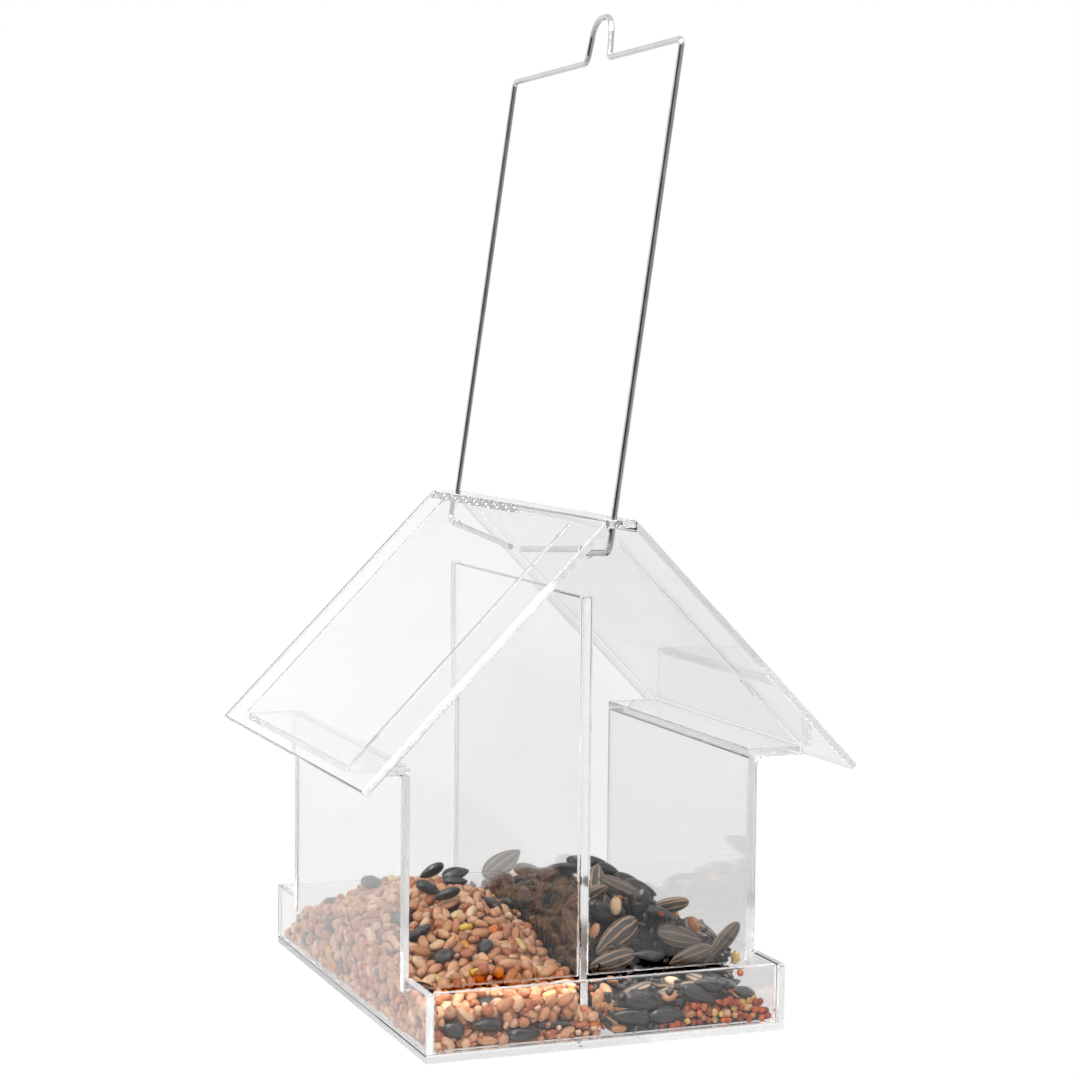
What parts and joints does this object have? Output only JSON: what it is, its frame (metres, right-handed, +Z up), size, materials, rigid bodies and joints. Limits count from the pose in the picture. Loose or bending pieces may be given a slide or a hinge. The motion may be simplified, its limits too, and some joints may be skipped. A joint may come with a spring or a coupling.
{
  "type": "hanging bird feeder",
  "caption": "House-shaped hanging bird feeder of clear acrylic sheet, with a divided seed hopper, open trays front and back, a lift-up roof and a wire hanger.",
  "frame": {"origin": "centre of the tray floor's underside, where the feeder stands on a table", "axes": "+Z up, +Y along the ridge towards the back, +X to the right seen from the front"},
  "size_m": [0.1634, 0.1714, 0.3248],
  "materials": {
    "clear_acrylic": "polished clear sheet",
    "galvanised_wire": "drawn wire, dull zinc coat",
    "seed_mix": "dry grain",
    "sunflower_seed": "dry husk"
  },
  "bodies": {
    "house": {"tray_floor": "clear_acrylic", "tray_front_rim": "clear_acrylic", "tray_back_rim": "clear_acrylic", "left_side_wall": "clear_acrylic", "right_side_wall": "clear_acrylic", "front_gable_wall": "clear_acrylic", "back_gable_wall": "clear_acrylic", "center_divider": "clear_acrylic", "left_eave_ledge": "clear_acrylic", "right_eave_ledge": "clear_acrylic", "seed_mix_heap": "seed_mix", "sunflower_seed_heap": "sunflower_seed"},
    "hanger": {"wire_hanger": "galvanised_wire"},
    "roof": {"roof_left_panel": "clear_acrylic", "roof_right_panel": "clear_acrylic", "roof_ridge_strip": "clear_acrylic"}
  },
  "joints": [
    {"name": "hanger_swing", "type": "hinge", "parent": "house", "child": "hanger", "pos_m": [-0.0004, 0, 0.1513], "axis": [0, 1, 0], "range_deg": [-8.05, 0]},
    {"name": "roof_lift", "type": "slide", "parent": "hanger", "child": "roof", "axis": [0.14, 0, 0.9901], "range_m": [0, 0.145]}
  ],
  "couplings": [
    {"joint": "hanger_swing", "follows": "roof_lift", "rad_per_m": -0.9685}
  ]
}
